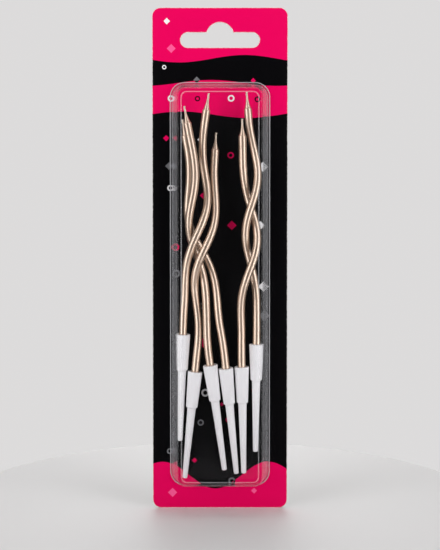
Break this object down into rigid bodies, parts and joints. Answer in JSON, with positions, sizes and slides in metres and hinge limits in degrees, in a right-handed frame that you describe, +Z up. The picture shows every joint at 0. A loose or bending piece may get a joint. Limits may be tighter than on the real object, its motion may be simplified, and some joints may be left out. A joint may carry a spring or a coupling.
{
  "type": "spiral birthday candle pack",
  "caption": "Hanging card pack: wound gold birthday candles in white push-in holders, in a clear formed blister sealed between two card plies.",
  "frame": {"origin": "top of the hang slot's arch on the card's front face, where a peg carries the pack", "axes": "+X to the right of the card's front, +Y out of the card's back, +Z up along the card"},
  "size_m": [0.055, 0.016, 0.204],
  "materials": {
    "printed_board": "coated paperboard printed hot pink and black",
    "plain_board": "uncoated grey-white paperboard",
    "clear_film": "clear thermoformed PET film",
    "white_plastic": "satin white moulded plastic",
    "gold_wax": "wax with metallic champagne-gold lacquer",
    "wick_cotton": "square-braided cotton, tinted by the lacquer"
  },
  "bodies": {
    "pack": {"front_card": "printed_board", "back_card": "plain_board", "blister": "clear_film", "holder_1": "white_plastic", "holder_2": "white_plastic", "holder_3": "white_plastic", "holder_4": "white_plastic", "holder_5": "white_plastic", "holder_6": "white_plastic"},
    "candle_1": {"candle_1": "gold_wax", "wick_1": "wick_cotton"},
    "candle_2": {"candle_2": "gold_wax", "wick_2": "wick_cotton"},
    "candle_3": {"candle_3": "gold_wax", "wick_3": "wick_cotton"},
    "candle_4": {"candle_4": "gold_wax", "wick_4": "wick_cotton"},
    "candle_5": {"candle_5": "gold_wax", "wick_5": "wick_cotton"},
    "candle_6": {"candle_6": "gold_wax", "wick_6": "wick_cotton"}
  },
  "joints": [
    {"name": "candle_1_pull", "type": "slide", "parent": "pack", "child": "candle_1", "axis": [0.0296, -0.0558, 0.998], "range_m": [0, 0.001]},
    {"name": "candle_2_pull", "type": "slide", "parent": "pack", "child": "candle_2", "axis": [0.0975, -0.0279, 0.9948], "range_m": [0, 0.001]},
    {"name": "candle_3_pull", "type": "slide", "parent": "pack", "child": "candle_3", "axis": [-0.1319, -0.0698, 0.9888], "range_m": [0, 0.002]},
    {"name": "candle_4_pull", "type": "slide", "parent": "pack", "child": "candle_4", "axis": [-0.0991, -0.0637, 0.993], "range_m": [0, 0.003]},
    {"name": "candle_5_pull", "type": "slide", "parent": "pack", "child": "candle_5", "axis": [-0.0209, -0.0384, 0.999], "range_m": [0, 0.007]},
    {"name": "candle_6_pull", "type": "slide", "parent": "pack", "child": "candle_6", "axis": [0.0087, -0.0105, 0.9999], "range_m": [0, 0.0022]}
  ]
}
